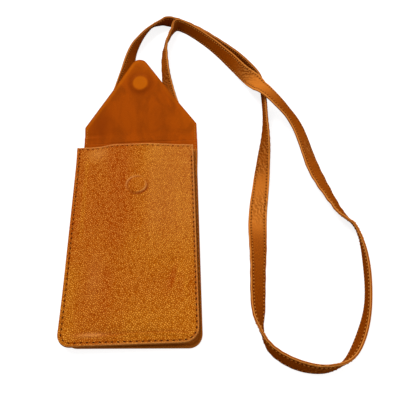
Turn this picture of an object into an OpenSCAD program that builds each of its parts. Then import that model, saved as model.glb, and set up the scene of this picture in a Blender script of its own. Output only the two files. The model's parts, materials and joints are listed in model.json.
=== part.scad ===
// Phone pouch of soft leather, lying on its back with its envelope flap open.
// It has a back panel, a front panel and a gusset between them, sewn with the
// rims outwards, a suede lining, a pair of thin magnets and a long flat strap.
// The origin is the centre of the back panel's outer face. +X is to the right,
// +Y runs up to the mouth and the flap, and +Z points out of the front.

/* [Pouch] */
// Width of the back panel and of the front panel
pouch_w = 104; // [92:1:130]
// Height of the pouch, from its closed end to its mouth
pouch_h = 182; // [150:1:210]
// Radius of the two corners at the closed end
corner_r = 10.5; // [8.5:0.5:18]
// Width of the flat sewn rim round the pouch
rim_w = 6; // [4:0.5:7]
// Height of the front's rim above the resting surface, at the closed end
rim_h_end = 10; // [8:0.2:16]
// Height of the front's rim above the resting surface, at the mouth
rim_h_mouth = 12.6; // [11:0.2:16]
// How far the front leans to the left of the back, at the closed end
lean_end = 2.8; // [0:0.1:4]
// How far the front leans to the left of the back, at the mouth
lean_mouth = 3.8; // [0:0.1:5]
// Rise of the front's middle above its rim, at the mouth
crown_h = 4.5; // [0.5:0.1:5]
// Distance over which the front rises from its side rims to its full crown
crown_run = 32; // [20:1:36]
// Distance over which the front rises from the closed end's rim
crown_end_run = 18; // [10:1:40]
// How far the gusset's wall bows into the pouch
gusset_bow = 1.5; // [0.5:0.1:2]

/* [Leather] */
// Thickness of the outer leather
leather_t = 1.2; // [0.8:0.1:1.6]
// Thickness of the suede lining
lining_t = 0.6; // [0.4:0.1:1]
// Thickness of the gusset's leather
gusset_t = 1; // [0.7:0.1:1.2]

/* [Flap] */
// Distance of the flap's sides in from the pouch's sides
flap_inset = 0; // [0:0.1:6]
// Distance between the two creases that wrap the flap over the mouth
fold_len = 18.5; // [16:0.5:28]
// Distance of the flap's shoulders from the first crease
shoulder_at = 26.4; // [24:0.2:36]
// Distance of the flap's tip from the first crease
flap_len = 95.2; // [86:0.1:120]
// How far the tip lies to the right of the middle, or to its left below 0
tip_shift = -0.8; // [-3:0.1:3]
// Radius of the flap's rounded tip
tip_r = 8.2; // [5:0.1:12]
// Radius of the flap's shoulders
shoulder_r = 2; // [1:0.1:4]
// Slope of the wrap between the creases, lying open
fold_open = 9; // [4:0.5:14]
// Slope of the flap, lying open
flap_open = 18; // [10:0.5:28]
// Slope of the wrap between the creases, closed
fold_closed = 72.5; // [60:0.5:90]
// Angle that the flap has turned through from flat, closed
flap_closed = 182.5; // [180:0.5:184]

/* [Magnets] */
// Diameter of the two magnets
magnet_d = 14; // [10:0.5:16]
// Thickness of the two magnets
magnet_t = 1.2; // [1:0.1:1.6]
// Distance of the flap's magnet from the first crease
magnet_at = 70.2; // [60:0.2:76]
// How far the magnets lie to the right of the back panel's middle
magnet_x = -0.2; // [-2:0.1:2]
// Diameter of the ring pressed into the front round its magnet
ring_d = 17; // [16:0.5:20]
// Width of the pressed ring
ring_w = 1; // [0.6:0.1:1.4]
// Depth of the pressed ring
ring_depth = 0.3; // [0.1:0.1:0.5]

/* [Strap] */
// Width of the strap
strap_w = 14.5; // [10:0.5:18]
// Thickness of the doubled strap
strap_t = 2.6; // [2:0.1:3.4]
// Length of each strap end that is sewn under the back panel
strap_sewn = 25; // [18:1:40]
// Length of each sewn strap end past the back panel's top edge
strap_past = 5; // [3:1:8]
// Distance of each strap end's middle in from the pouch's side
strap_end_in = 10; // [8:1:20]

/* [Hidden] */
$fn = 48;
// Room between two layers that are glued or sewn together
layer_gap = 0.05;
// Room between the pieces on the two sides of a crease
crease_gap = 0.3;
// Room round a magnet in its pocket
magnet_gap = 0.2;
// Distance over which the back panel rises onto the sewn strap ends
ramp_run = 10;
// Overrun of cuts and of solids that are trimmed
overrun = 5;
// Steps in each rounded corner of the closed end
corner_steps = 6;
// Steps in the flap's rounded tip and in each of its shoulders
tip_steps = 12;
shoulder_steps = 4;
// Share of the crown that is left at the closed end
crown_end_share = 0.5;
// How quickly the front rises from the closed end's rim, as a power
crown_power = 2.4;
// Columns of the front between the rim and the full crown, as shares of the run
column_shares = [0.15, 0.35, 0.6, 0.8, 1];
// Rows of the front past the corners, as shares of the rest of the end's run
row_end_shares = [0.25, 0.6, 1];
// Rows from there to the mouth, as shares of that length
row_shares = [0.2, 0.4, 0.6, 0.8, 1];
// Depth of the gusset's bow up its wall, as shares of height and of bow
bow_shares = [[0.25, 0.75], [0.5, 1], [0.75, 0.75]];

mouth_y = pouch_h / 2;
end_y = -pouch_h / 2;
side_x = pouch_w / 2;
rim_in = rim_w + gusset_t;
flap_w = pouch_w - 2 * flap_inset;
// Height that the sewn strap ends add under the back panel
ramp_h = strap_t + layer_gap;
ramp_top_y = mouth_y - strap_sewn - layer_gap;
ramp_low_y = ramp_top_y - ramp_run;
// Places at which the strap goes on from its sewn ends
strap_end_x = side_x - strap_end_in;
strap_from_y = mouth_y + strap_past;
// Thickness of leather and lining together
skin_t = leather_t + layer_gap + lining_t;
// Room from a crease to the piece on its far side, for a turn of that many degrees
function crease_room(turn) =
    max(skin_t / 2 + crease_gap, skin_t / 2 / tan((180 - turn) / 2) + crease_gap / 2);
fold_room = crease_room(fold_closed);
flap_room = crease_room(flap_closed - fold_closed);
crease_y = mouth_y + fold_room;
crease_z = ramp_h + skin_t / 2;

// The closed flap sets the place of the front's magnet
magnet_on_flap = magnet_at - fold_len;
front_magnet_y = crease_y + fold_len * cos(fold_closed) + magnet_on_flap * cos(flap_closed);

// Route of the strap from the left strap end to the right one. Each row is x, y, the
// height of the strap's lower edge above the resting surface, and its roll in degrees.
strap_route = [
    [-strap_end_x, strap_from_y, 0, 0], [-39, 117.5, 0.5, 5], [-26.5, 149, 0.5, 25],
    [-17.5, 187, 0, 44], [-12, 221, 0, 73], [-5, 240.5, 0, 100], [4.5, 258, 0, 125],
    [13, 266, 0, 127], [32.5, 265, 0, 90], [75.5, 230.5, 0, 89], [111, 185, 0, 90],
    [117.5, 156, 0, 89], [115, 105.5, 0, 70], [107, 54, 0, 25], [101, 19, 0, 7],
    [98, -17, 0, -25], [94, -62.5, 0, -47], [94, -80.5, 0, -70], [101, -98, 0, -92],
    [119, -110, 0, -100], [140, -113, 0, -88], [158, -103.5, 0, -70], [174, -72.5, 0, -80],
    [181, -36.5, 0, -90], [180, -1, 0, -108], [168.5, 19, 0, -133], [155, 60, 0, -148],
    [145, 109, 3.5, -145], [131, 131, 12.5, -155], [115, 155, 14.5, -176],
    [102.5, 177, 4.5, -235], [84.5, 209.5, 0, -245], [59, 242, 0, -262],
    [35.5, 261.5, 0, -263], [27, 247, 0, -286], [21.5, 224, 0, -290], [22.5, 189.5, 0, -299],
    [27.5, 150.5, 0, -333], [38.5, 117, 0.5, -360], [strap_end_x, strap_from_y, 0, -360]
];
// Rings for each stretch of the route
strap_steps = 2;
// Bevel along each edge of the strap
strap_bevel = 0.9;

leather_colour = [0.74, 0.4, 0.14];
gusset_colour = [0.55, 0.27, 0.08];
suede_colour = [0.66, 0.3, 0.04];
strap_colour = [0.68, 0.36, 0.13];
magnet_colour = [0.7, 0.7, 0.72];

function lerp(a, b, t) = a + (b - a) * t;
function unit(v) = v / norm(v);

// Places on the pouch
// Share of the way from the closed end to the mouth
function up_share(y) = (y - end_y) / pouch_h;
// How far a point of the front lies to the left of its place on the back
function lean(y) = lerp(lean_end, lean_mouth, up_share(y));
// Height of the back panel's outer face, which rises onto the strap ends
function back_z(y) = ramp_h * held((y - ramp_low_y) / ramp_run);
function held(t) = min(max(t, 0), 1);
// Share of the crown that is reached at a share of its run, from a side's rim and from
// the closed end's rim
function side_rise(t) = held(t) * held(t) * (3 - 2 * held(t));
function end_rise(t) = 1 - pow(1 - held(t), crown_power);
// Rise of the front above its rim, zero over the whole rim
function crown(x, y) =
    crown_h * lerp(crown_end_share, 1, up_share(y))
    * side_rise((side_x - rim_in - abs(x)) / crown_run)
    * end_rise((y - end_y - rim_in) / crown_end_run);
// Height of the front's outer face above a place on the back
function front_z(x, y) = lerp(rim_h_end, rim_h_mouth, up_share(y)) + crown(x, y);

// Closed skin of a stack of rings, each of the same number of points
module ring_skin(rings) {
    n = len(rings[0]);
    last = len(rings) - 1;
    sides = [for (i = [0 : last - 1], j = [0 : n - 1])
        let (k = (j + 1) % n)
        each [[i * n + j, (i + 1) * n + j, (i + 1) * n + k],
              [i * n + j, (i + 1) * n + k, i * n + k]]];
    first_cap = [[for (j = [0 : n - 1]) j]];
    last_cap = [[for (j = [n - 1 : -1 : 0]) last * n + j]];
    polyhedron(points = [for (ring = rings) each ring],
               faces = concat(sides, first_cap, last_cap));
}

// Sheet between a lower and an upper height over one grid of places
module sheet_skin(rows, low, high) {
    across = len(rows[0]);
    up = len(rows);
    count = across * up;
    points = [for (z = [low, high], j = [0 : up - 1], i = [0 : across - 1])
        [rows[j][i].x, rows[j][i].y, rows[j][i].z + z]];
    function at(layer, j, i) = layer * count + j * across + i;
    tops = [for (j = [0 : up - 2], i = [0 : across - 2])
        each [[at(1, j, i), at(1, j + 1, i + 1), at(1, j, i + 1)],
              [at(1, j, i), at(1, j + 1, i), at(1, j + 1, i + 1)]]];
    bottoms = [for (j = [0 : up - 2], i = [0 : across - 2])
        each [[at(0, j, i), at(0, j, i + 1), at(0, j + 1, i + 1)],
              [at(0, j, i), at(0, j + 1, i + 1), at(0, j + 1, i)]]];
    border = concat([for (i = [0 : across - 1]) [0, i]],
                    [for (j = [1 : up - 1]) [j, across - 1]],
                    [for (i = [across - 2 : -1 : 0]) [up - 1, i]],
                    [for (j = [up - 2 : -1 : 1]) [j, 0]]);
    walls = [for (k = [0 : len(border) - 1])
        let (a = border[k], b = border[(k + 1) % len(border)])
        each [[at(0, a[0], a[1]), at(1, b[0], b[1]), at(0, b[0], b[1])],
              [at(0, a[0], a[1]), at(1, a[0], a[1]), at(1, b[0], b[1])]]];
    polyhedron(points = points, faces = concat(tops, bottoms, walls));
}

// Outline of the pouch, square at the mouth and rounded at the closed end
module pouch_outline() {
    translate([-side_x, end_y + corner_r])
        square([pouch_w, pouch_h - corner_r]);
    translate([-side_x + corner_r, end_y])
        square([pouch_w - 2 * corner_r, corner_r]);
    for (side = [-1, 1])
        translate([side * (side_x - corner_r), end_y + corner_r])
            circle(corner_r);
}

// One layer of the back, that far above the panel's outer face
module back_layer(low, thickness) {
    low_side = [[end_y, low], [ramp_low_y, low], [ramp_top_y, ramp_h + low],
                [mouth_y, ramp_h + low]];
    high_side = [for (k = [3 : -1 : 0]) low_side[k] + [0, thickness]];
    intersection() {
        translate([-side_x, 0, 0])
            rotate([90, 0, 90])
                linear_extrude(pouch_w)
                    polygon(concat(low_side, high_side));
        translate([0, 0, -overrun])
            linear_extrude(ramp_h + low + thickness + 2 * overrun)
                pouch_outline();
    }
}

module back_panel() {
    color(leather_colour) back_layer(0, leather_t);
}

module back_lining() {
    color(suede_colour) back_layer(leather_t + layer_gap, lining_t);
}

// Places along the pouch's sewn edge, from the mouth on the left round to the right.
// Each is a centre, a direction out of it and the edge's distance from the centre.
function edge_stop(centre, angle) = [centre, [cos(angle), sin(angle)]];
side_rows = [mouth_y, ramp_top_y, ramp_low_y, end_y + corner_r];
edge_stops = concat(
    [for (y = side_rows) edge_stop([-side_x + corner_r, y], 180)],
    [for (k = [1 : corner_steps])
        edge_stop([-side_x + corner_r, end_y + corner_r], 180 + 90 * k / corner_steps)],
    [for (k = [0 : corner_steps])
        edge_stop([side_x - corner_r, end_y + corner_r], 270 + 90 * k / corner_steps)],
    [for (k = [2 : -1 : 0]) edge_stop([side_x - corner_r, side_rows[k]], 0)]);

// Section of the gusset: distance in from the edge, share of the way up from the
// back to the front, and height past that
gusset_section = concat(
    [[0, 0, 0], [rim_in, 0, 0]],
    [for (s = bow_shares) [rim_in + s[1] * gusset_bow, s[0], 0]],
    [[rim_in, 1, 0], [0, 1, 0], [0, 1, -gusset_t], [rim_w, 1, -gusset_t]],
    [for (k = [2 : -1 : 0]) [rim_w + bow_shares[k][1] * gusset_bow, bow_shares[k][0], 0]],
    [[rim_w, 0, gusset_t], [0, 0, gusset_t]]);

function gusset_point(stop, p) =
    let (place = stop[0] + stop[1] * (corner_r - p[0]),
         low = back_z(place.y) + skin_t + layer_gap,
         high = lerp(rim_h_end, rim_h_mouth, up_share(place.y)) - skin_t - layer_gap)
    [place.x - lean(place.y) * p[1], place.y, lerp(low, high, p[1]) + p[2]];

module gusset() {
    color(gusset_colour)
        ring_skin([for (stop = edge_stops) [for (p = gusset_section) gusset_point(stop, p)]]);
}

// Grid of the front. Rows run up from the closed end, and each row's columns draw in
// with the rounded corners.
columns = let (inner = side_x - rim_in,
               half = concat([side_x, inner], [for (s = column_shares) inner - s * crown_run]))
    concat([for (x = half) -x], [0], [for (k = [len(half) - 1 : -1 : 0]) half[k]]);
corner_rows = [for (k = [0 : corner_steps])
    let (angle = 90 * k / corner_steps)
    [end_y + corner_r * (1 - cos(angle)), corner_r * (1 - sin(angle))]];
crown_end_y = max(end_y + rim_in + crown_end_run, end_y + corner_r + overrun);
end_rows = [for (s = row_end_shares) [lerp(end_y + corner_r, crown_end_y, s), 0]];
upper_rows = [for (s = row_shares) [lerp(crown_end_y, mouth_y, s), 0]];
front_rows = [for (row = concat(corner_rows, end_rows, upper_rows))
    [for (column = columns)
        let (x = column * (side_x - row[1]) / side_x)
        [x - lean(row[0]), row[0], front_z(x, row[0])]]];

// Puts children on the front's face at its magnet, square to the leather there
module at_front_magnet() {
    slope = atan((rim_h_mouth - rim_h_end + crown_h * (1 - crown_end_share)) / pouch_h);
    translate([magnet_x, front_magnet_y,
               front_z(magnet_x + lean(front_magnet_y), front_magnet_y)])
        rotate([slope, 0, 0])
            children();
}

module front_panel() {
    color(leather_colour)
        difference() {
            sheet_skin(front_rows, -leather_t, 0);
            at_front_magnet()
                difference() {
                    translate([0, 0, -ring_depth])
                        cylinder(d = ring_d + ring_w, h = overrun);
                    translate([0, 0, -overrun])
                        cylinder(d = ring_d - ring_w, h = 2 * overrun);
                }
        }
}

// Depths under the front's face, at its magnet
magnet_top = leather_t + layer_gap;
pocket_floor = magnet_top + magnet_t + layer_gap;

module front_lining() {
    pocket_d = magnet_d + 2 * magnet_gap;
    color(suede_colour) {
        difference() {
            sheet_skin(front_rows, -skin_t, -leather_t - layer_gap);
            at_front_magnet()
                translate([0, 0, -overrun])
                    cylinder(d = pocket_d, h = 2 * overrun);
        }
        at_front_magnet()
            difference() {
                translate([0, 0, -pocket_floor - lining_t])
                    cylinder(d = pocket_d + 2 * lining_t,
                             h = pocket_floor + lining_t / 2 - magnet_top);
                translate([0, 0, -pocket_floor])
                    cylinder(d = pocket_d, h = overrun);
            }
    }
}

module front_magnet() {
    color(magnet_colour)
        at_front_magnet()
            translate([0, 0, -magnet_top - magnet_t])
                cylinder(d = magnet_d, h = magnet_t);
}

// Flat end of the strap, sewn under one top corner of the back panel
module strap_end(side) {
    low_y = mouth_y - strap_sewn;
    color(strap_colour)
        translate([side * strap_end_x - strap_w / 2, low_y, 0])
            cube([strap_w, strap_from_y - low_y, strap_t]);
}

module strap_end_left() {
    strap_end(-1);
}

module strap_end_right() {
    strap_end(1);
}

// A smooth curve through four points, that share of the way from b to c
function curve(a, b, c, d, t) =
    (2 * b + (c - a) * t + (2 * a - 5 * b + 4 * c - d) * t * t
     + (3 * b - a - 3 * c + d) * t * t * t) / 2;
route_last = len(strap_route) - 1;
function route_row(i) =
    i < 0 ? 2 * strap_route[0] - strap_route[1]
    : i > route_last ? 2 * strap_route[route_last] - strap_route[route_last - 1]
    : strap_route[i];
strap_rows = concat(
    [for (i = [0 : route_last - 1], k = [0 : strap_steps - 1])
        curve(route_row(i - 1), route_row(i), route_row(i + 1), route_row(i + 2),
              k / strap_steps)],
    [strap_route[route_last]]);
// Centre of the strap at each row: its lower edge lies at the row's height
strap_line = [for (row = strap_rows)
    [row[0], row[1],
     max(row[2], 0) + strap_w / 2 * abs(sin(row[3])) + strap_t / 2 * abs(cos(row[3]))]];
strap_last = len(strap_rows) - 1;
function strap_heading(i) =
    i == 0 ? [0, 1, 0]
    : i == strap_last ? [0, -1, 0]
    : unit(strap_line[i + 1] - strap_line[i - 1]);
strap_section = let (w = strap_w / 2, t = strap_t / 2, b = strap_bevel)
    [[w, b - t], [w, t - b], [w - b, t], [b - w, t],
     [-w, t - b], [-w, b - t], [b - w, -t], [w - b, -t]];
function strap_ring(i) =
    let (ahead = strap_heading(i),
         left = unit(cross([0, 0, 1], ahead)),
         up = cross(ahead, left),
         roll = strap_rows[i][3],
         wide = left * cos(roll) + up * sin(roll),
         thick = up * cos(roll) - left * sin(roll))
    [for (p = strap_section) strap_line[i] + wide * p[0] + thick * p[1]];

module strap() {
    color(strap_colour)
        ring_skin([for (i = [0 : strap_last]) strap_ring(i)]);
}

// Puts children in the frame of the wrap: the first crease is the X axis, +Y runs
// along the wrap and +Z points to the suede
module on_fold() {
    translate([0, crease_y, crease_z])
        rotate([fold_open, 0, 0])
            children();
}

// The frame of the flap, from the second crease on
module on_flap() {
    on_fold()
        translate([0, fold_len, 0])
            rotate([flap_open - fold_open, 0, 0])
                children();
}

// One layer of the wrap, between two heights of the skin, with its ends rolled round
// the creases
module fold_layer(low, high) {
    on_fold()
        translate([-flap_w / 2, 0, 0])
            rotate([90, 0, 90])
                linear_extrude(flap_w)
                    intersection() {
                        union() {
                            translate([0, -skin_t / 2])
                                square([fold_len, skin_t]);
                            for (y = [0, fold_len])
                                translate([y, 0])
                                    circle(skin_t / 2);
                        }
                        translate([-overrun, low])
                            square([fold_len + 2 * overrun, high - low]);
                    }
}

leather_low = -skin_t / 2;
leather_high = leather_low + leather_t;
lining_low = leather_high + layer_gap;
lining_high = skin_t / 2;

module fold_leather() {
    color(leather_colour) fold_layer(leather_low, leather_high);
}

module fold_lining() {
    color(suede_colour) fold_layer(lining_low, lining_high);
}

// Arc of points round a centre, between two angles
function arc(centre, radius, from, to, steps) =
    [for (k = [0 : steps]) let (a = lerp(from, to, k / steps))
        centre + radius * [cos(a), sin(a)]];
tip_centre = [tip_shift, flap_len - tip_r - fold_len];
// Direction square to the flap's slanting edge, out of the flap, on one side
function slant_normal(side) =
    let (shoulder = [side * flap_w / 2, shoulder_at - fold_len],
         to_tip = tip_centre - shoulder)
    atan2(to_tip.y, to_tip.x) - side * (asin(tip_r / norm(to_tip)) + 90);
// Centre of the arc that rounds a shoulder: it touches the side and the slant
function shoulder_centre(side) =
    let (turn = abs(slant_normal(side) - (side > 0 ? 0 : 180)))
    [side * (flap_w / 2 - shoulder_r),
     shoulder_at - fold_len - shoulder_r * tan(turn / 2)];
flap_outline = concat(
    [[flap_w / 2, flap_room]],
    arc(shoulder_centre(1), shoulder_r, 0, slant_normal(1), shoulder_steps),
    arc(tip_centre, tip_r, slant_normal(1), slant_normal(-1), tip_steps),
    arc(shoulder_centre(-1), shoulder_r, slant_normal(-1), 180, shoulder_steps),
    [[-flap_w / 2, flap_room]]);

module flap_leather() {
    color(leather_colour)
        on_flap()
            translate([0, 0, leather_low])
                linear_extrude(leather_t)
                    polygon(flap_outline);
}

module flap_lining() {
    pocket_d = magnet_d + 2 * magnet_gap;
    color(suede_colour)
        on_flap()
            difference() {
                union() {
                    translate([0, 0, lining_low])
                        linear_extrude(lining_t)
                            polygon(flap_outline);
                    translate([magnet_x, magnet_on_flap, lining_low])
                        cylinder(d = pocket_d + 2 * lining_t,
                                 h = magnet_t + layer_gap + lining_t);
                }
                translate([magnet_x, magnet_on_flap, lining_low - overrun])
                    cylinder(d = pocket_d, h = overrun + magnet_t + layer_gap);
            }
}

module flap_magnet() {
    color(magnet_colour)
        on_flap()
            translate([magnet_x, magnet_on_flap, lining_low])
                cylinder(d = magnet_d, h = magnet_t);
}

back_panel();
back_lining();
gusset();
front_panel();
front_lining();
front_magnet();
strap_end_left();
strap_end_right();
strap();
fold_leather();
fold_lining();
flap_leather();
flap_lining();
flap_magnet();
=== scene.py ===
"""Looks of a tan leather phone pouch with its envelope flap open and its long flat strap
in a loop beside it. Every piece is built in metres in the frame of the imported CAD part."""

import json
import math

import bpy
import numpy as np
from mathutils import Matrix, Vector


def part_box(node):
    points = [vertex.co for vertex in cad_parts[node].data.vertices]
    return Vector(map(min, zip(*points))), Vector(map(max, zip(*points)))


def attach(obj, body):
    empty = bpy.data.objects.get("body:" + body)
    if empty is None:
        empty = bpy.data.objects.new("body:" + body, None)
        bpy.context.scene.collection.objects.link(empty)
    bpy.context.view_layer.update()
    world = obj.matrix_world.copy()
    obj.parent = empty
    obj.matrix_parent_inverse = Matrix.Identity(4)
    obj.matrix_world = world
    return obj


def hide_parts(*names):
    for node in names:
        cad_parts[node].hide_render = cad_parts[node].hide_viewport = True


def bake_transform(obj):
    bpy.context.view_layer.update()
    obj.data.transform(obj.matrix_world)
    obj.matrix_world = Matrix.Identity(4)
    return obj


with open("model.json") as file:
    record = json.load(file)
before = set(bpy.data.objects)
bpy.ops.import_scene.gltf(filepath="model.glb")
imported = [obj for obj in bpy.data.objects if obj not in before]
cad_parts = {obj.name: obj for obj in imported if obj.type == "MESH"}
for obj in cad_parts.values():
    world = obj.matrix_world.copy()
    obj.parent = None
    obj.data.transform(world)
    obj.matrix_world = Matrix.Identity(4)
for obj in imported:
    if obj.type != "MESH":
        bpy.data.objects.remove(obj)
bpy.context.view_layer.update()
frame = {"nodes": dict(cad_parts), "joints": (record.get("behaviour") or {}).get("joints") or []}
mm = 0.001


# ------------------------------
# Camera. It looks down on the pouch from above its closed end, at the angle, distance and
# small roll that were fitted to the pouch's corners, through a lens of 50 mm.
camera_at = Vector((0.0567, -0.22827, 0.4004))
camera_azimuth = math.radians(0.859)
camera_elevation = math.radians(56.321)
camera_roll = math.radians(-2.974)
camera_lens, film_width = 49.95, 36

camera_back = Vector((math.sin(camera_azimuth) * math.cos(camera_elevation),
                      -math.cos(camera_azimuth) * math.cos(camera_elevation),
                      math.sin(camera_elevation)))
level_right = camera_back.cross(Vector((0, 0, -1))).normalized()
level_up = camera_back.cross(level_right)
camera_right = level_right * math.cos(camera_roll) + level_up * math.sin(camera_roll)
camera_up = camera_back.cross(camera_right)

camera = bpy.data.objects.new("camera", bpy.data.cameras.new("camera"))
camera.matrix_world = Matrix.Translation(camera_at) @ Matrix(
    (camera_right, camera_up, camera_back)).transposed().to_4x4()
camera.data.lens = camera_lens
camera.data.sensor_width = film_width
camera.data.clip_start = 0.01
camera.data.clip_end = 10
bpy.context.scene.collection.objects.link(camera)
bpy.context.scene.camera = camera


# ------------------------------
# Strap. Two long strips of smooth tan leather, glued back to back and sewn along both
# edges. The doubled strap lies loose in one big loop, on its edges where it bends, with
# fine cross wrinkles where the two layers are squeezed.
strap_w, strap_t = 14.5 * mm, 2.6 * mm
strap_seam_in, strap_pitch = 2 * mm, 3 * mm
strap_stitch, fine_stitch = (2 * mm, 0.85 * mm), (1.7 * mm, 0.5 * mm)
ring_step = 1.6 * mm
# x and y, height of the lower edge above the floor, all in mm, and roll in degrees
strap_route = [
    [-42, 96, 0, 0], [-39, 117.5, 0.5, 5], [-26.5, 149, 0.5, 25], [-17.5, 187, 0, 44],
    [-12, 221, 0, 73], [-5, 240.5, 0, 100], [4.5, 258, 0, 125], [13, 266, 0, 127],
    [32.5, 265, 0, 90], [75.5, 230.5, 0, 89], [111, 185, 0, 90], [117.5, 156, 0, 89],
    [115, 105.5, 0, 70], [107, 54, 0, 25], [101, 19, 0, 7], [98, -17, 0, -25],
    [94, -62.5, 0, -47], [94, -80.5, 0, -70], [101, -98, 0, -92], [119, -110, 0, -100],
    [140, -113, 0, -88], [158, -103.5, 0, -70], [174, -72.5, 0, -80], [181, -36.5, 0, -90],
    [180, -1, 0, -108], [168.5, 19, 0, -133], [155, 60, 0, -148], [145, 109, 3.5, -145],
    [131, 131, 12.5, -155], [115, 155, 14.5, -176], [102.5, 177, 4.5, -235],
    [84.5, 209.5, 0, -245], [59, 242, 0, -262], [35.5, 261.5, 0, -263], [27, 247, 0, -286],
    [21.5, 224, 0, -290], [22.5, 189.5, 0, -299], [27.5, 150.5, 0, -333],
    [38.5, 117, 0.5, -360], [42, 96, 0, -360]]


def unit(v):
    """Vectors of length 1: each vector over its own length."""
    return v / np.linalg.norm(v, axis=-1, keepdims=True)


def hump(x, middle, spread):
    """A soft bell: e to the power of minus ((x - middle) / spread) squared."""
    return np.exp(-((x - middle) / spread) ** 2)


def ease(x):
    """A soft step from 0 to 1: 3 x squared less 2 x cubed, with x held from 0 to 1."""
    x = np.clip(x, 0, 1)
    return x * x * (3 - 2 * x)


def smooth_route(rows, steps):
    """The curve through all rows, with that many steps to a stretch. Between b and c, with
    neighbours a and d, it is half of 2b + (c - a) t + (2a - 5b + 4c - d) t squared
    + (3b - a - 3c + d) t cubed."""
    rows = np.array(rows, float)
    rows = np.vstack([2 * rows[0] - rows[1], rows, 2 * rows[-1] - rows[-2]])
    t = (np.arange(steps) / steps)[None, :, None]
    a, b, c, d = (rows[k:len(rows) - 3 + k, None, :] for k in range(4))
    curve = (2 * b + (c - a) * t + (2 * a - 5 * b + 4 * c - d) * t ** 2
             + (3 * b - a - 3 * c + d) * t ** 3) / 2
    return np.vstack([curve.reshape(-1, rows.shape[1]), rows[-2]])


def strap_lie(step):
    """Middles of the strap and its directions ahead, across and through, every step along
    it. The middle is half the width times |sin roll| plus half the thickness times
    |cos roll| above the lower edge, and both directions turn by the roll about the way
    ahead."""
    rows = smooth_route(strap_route, 24)
    roll = np.radians(rows[:, 3])
    middle = rows[:, :3] * mm
    middle[:, 2] = (np.maximum(middle[:, 2], 0) + strap_w / 2 * np.abs(np.sin(roll))
                    + strap_t / 2 * np.abs(np.cos(roll)))
    run = np.append(0, np.cumsum(np.linalg.norm(np.diff(middle, axis=0), axis=1)))
    along = np.linspace(0, run[-1], int(run[-1] / step) + 1)
    middle = np.stack([np.interp(along, run, middle[:, k]) for k in range(3)], 1)
    roll = np.interp(along, run, roll)
    ahead = np.gradient(middle, axis=0)
    ahead[0], ahead[-1] = (0, 1, 0), (0, -1, 0)
    ahead = unit(ahead)
    left = unit(np.cross((0, 0, 1), ahead))
    up = np.cross(ahead, left)
    cos, sin = np.cos(roll)[:, None], np.sin(roll)[:, None]
    return along, middle, ahead, left * cos + up * sin, up * cos - left * sin


def strap_thick(across):
    """Height of the strap's face over its middle plane: half the thickness, which falls by
    0.65 mm in a quarter ellipse over the outer 2.6 mm that the seam pulls down, less a
    seam groove 0.28 mm deep."""
    pulled = 2.6 * mm
    past = np.clip((np.abs(across) - (strap_w / 2 - pulled)) / pulled, 0, 1)
    groove = 0.28 * mm * hump(np.abs(across), strap_w / 2 - strap_seam_in, 0.7 * mm)
    return strap_t / 2 - 0.65 * mm * (1 - np.sqrt(1 - past ** 2)) - groove


def strap_wrinkle(along, across):
    """How far the doubled strap is pushed through its own plane: slanted waves 7 and 13 mm
    long, each fading in and out along the strap, and a slow twist 61 mm long. All of them
    fade out over the last 20 mm at both ends."""
    slant = along + 0.3 * across
    short = np.sin(2 * np.pi * slant / (7.3 * mm) + 2 * np.sin(along / (23 * mm)))
    longer = np.sin(2 * np.pi * (along - 0.5 * across) / (13.1 * mm) + 1)
    fade = np.maximum(np.sin(along / (31 * mm) + 1.2), 0) ** 3
    fade_2 = np.maximum(np.sin(along / (47 * mm) + 3), 0) ** 2
    slow = np.sin(2 * np.pi * along / (61 * mm)) * across / (strap_w / 2)
    ends = ease(along / (20 * mm)) * ease((along[-1] - along) / (20 * mm))
    return (0.16 * mm * short * fade + 0.22 * mm * longer * fade_2 + 0.3 * mm * slow) * ends


def make_piece(name, points, quads, flat, caps=(), marks=None):
    """Smooth shaded mesh object. flat gives each point its place on the flat cut piece, in
    metres, kept as the map "flat", and marks are shares from 0 to 1 for the materials."""
    mesh = bpy.data.meshes.new(name)
    faces = quads.tolist() + [list(cap) for cap in caps]
    mesh.from_pydata(np.reshape(points, (-1, 3)).tolist(), [], faces)
    mesh.shade_smooth()
    corners = np.empty(len(mesh.loops), np.int32)
    mesh.loops.foreach_get("vertex_index", corners)
    flat = np.reshape(flat, (-1, 2)).astype(np.float32)
    mesh.uv_layers.new(name="flat").uv.foreach_set("vector", flat[corners].ravel())
    for mark, values in (marks or {}).items():
        values = np.ravel(values).astype(np.float32)
        mesh.attributes.new(mark, "FLOAT", "POINT").data.foreach_set("value", values)
    made = bpy.data.objects.new(name, mesh)
    bpy.context.scene.collection.objects.link(made)
    return made


def dress(piece, material):
    """Gives a piece its material."""
    piece.data.materials.append(material)
    return piece


def tube_faces(rings, sides):
    """Quads of a tube with that many rings of points: each joins two neighbours of one
    ring to the same two of the next, and the last side meets the first."""
    k = np.arange((rings - 1) * sides).reshape(rings - 1, sides)
    k_2 = np.roll(k, -1, axis=1)
    return np.stack([k, k_2, k_2 + sides, k + sides], -1).reshape(-1, 4)


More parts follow.
